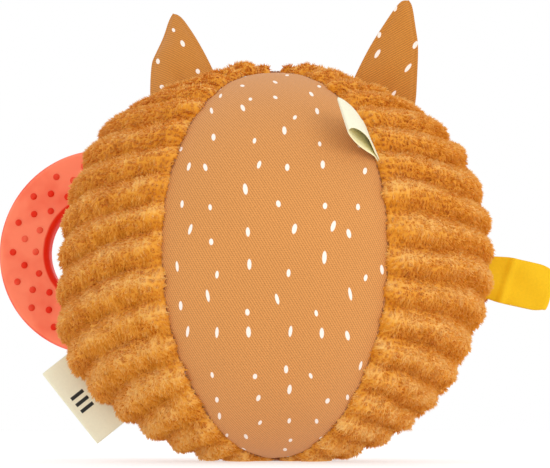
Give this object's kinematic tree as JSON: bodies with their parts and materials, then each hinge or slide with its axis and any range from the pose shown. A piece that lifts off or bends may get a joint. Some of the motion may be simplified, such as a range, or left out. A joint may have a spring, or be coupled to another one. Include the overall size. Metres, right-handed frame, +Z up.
{
  "type": "plush rattle ball",
  "caption": "Plush baby rattle ball of sewn ribbed-plush and cotton gores with crinkle ears, a teething ring on a strap, folded tape tags and a rattle capsule.",
  "frame": {"origin": "on the ball's axis, on the flat at the bottom closing stitch that the ball rests on", "axes": "+Z up the ball's axis to the top pole between the ears, -Y out of the plain back panel, +Y out of the animal face, the teething ring towards -X"},
  "size_m": [0.2444, 0.1939, 0.1887],
  "materials": {
    "corduroy_plush": "matte",
    "printed_cotton": "matte",
    "ear_cotton": "matte",
    "crinkle_film": "gloss",
    "wadding": "matte",
    "rattle_plastic": "satin",
    "bead_plastic": "gloss",
    "teether_silicone": "satin",
    "strap_cotton": "matte",
    "yellow_ribbon": "matte",
    "label_tape": "matte",
    "cream_felt": "matte",
    "dark_felt": "matte",
    "closing_thread": "matte",
    "seam_thread": "matte"
  },
  "bodies": {
    "ball": {"back_filling": "wadding", "back_left_plush_panel": "corduroy_plush", "back_panel": "printed_cotton", "back_right_plush_panel": "corduroy_plush", "bottom_closing_stitch": "closing_thread", "face_panel": "printed_cotton", "front_filling": "wadding", "front_left_plush_panel": "corduroy_plush", "front_right_plush_panel": "corduroy_plush", "left_eye": "dark_felt", "muzzle_patch": "cream_felt", "nose_patch": "dark_felt", "rattle_case_lower": "rattle_plastic", "rattle_case_upper": "rattle_plastic", "right_eye": "dark_felt", "seam_threads": "seam_thread", "top_closing_stitch": "closing_thread"},
    "beads": {"rattle_beads": "bead_plastic"},
    "left_ear": {"left_ear_back": "ear_cotton", "left_ear_front": "ear_cotton", "left_ear_film": "crinkle_film"},
    "right_ear": {"right_ear_back": "ear_cotton", "right_ear_front": "ear_cotton", "right_ear_film": "crinkle_film"},
    "strap": {"ring_strap": "strap_cotton"},
    "ring": {"teether_ring": "teether_silicone"},
    "tab": {"ribbon_tab": "yellow_ribbon"},
    "tag": {"side_label": "label_tape"},
    "loop": {"seam_label": "label_tape"}
  },
  "joints": [
    {"name": "bead_tumble", "type": "hinge", "parent": "ball", "child": "beads", "pos_m": [0, 0, 0.0785], "axis": [1, 0, 0], "continuous": true},
    {"name": "ring_swing", "type": "hinge", "parent": "ball", "child": "strap", "pos_m": [-0.0449, 0.07777, 0.0952], "axis": [0, 0, 1], "range_deg": [0, 48]},
    {"name": "ring_turn", "type": "hinge", "parent": "strap", "child": "ring", "pos_m": [-0.082, 0.095, 0.0952], "axis": [0.1392, 0.9903, 0], "continuous": true},
    {"name": "left_ear_flop", "type": "hinge", "parent": "ball", "child": "left_ear", "pos_m": [-0.03865, 0, 0.15431], "axis": [-0.91, 0, -0.4147], "range_deg": [-50, 10], "stiffness_Nm_per_rad": 0.02},
    {"name": "right_ear_flop", "type": "hinge", "parent": "ball", "child": "right_ear", "pos_m": [0.04589, 0, 0.15062], "axis": [-0.8704, 0, 0.4924], "range_deg": [-30, 30], "stiffness_Nm_per_rad": 0.02},
    {"name": "tab_flex", "type": "hinge", "parent": "ball", "child": "tab", "pos_m": [0.09109, 0, 0.07436], "axis": [0.2079, 0, 0.9781], "range_deg": [-60, 60], "stiffness_Nm_per_rad": 0.004},
    {"name": "side_label_flex", "type": "hinge", "parent": "ball", "child": "tag", "pos_m": [-0.0717, 0, 0.02985], "axis": [-0.6266, 0, 0.7793], "range_deg": [-45, 45], "stiffness_Nm_per_rad": 0.004},
    {"name": "seam_label_flex", "type": "hinge", "parent": "ball", "child": "loop", "pos_m": [0.0348, -0.06545, 0.11962], "axis": [-0.2591, 0.4873, 0.8339], "range_deg": [-15, 35], "stiffness_Nm_per_rad": 0.004}
  ]
}
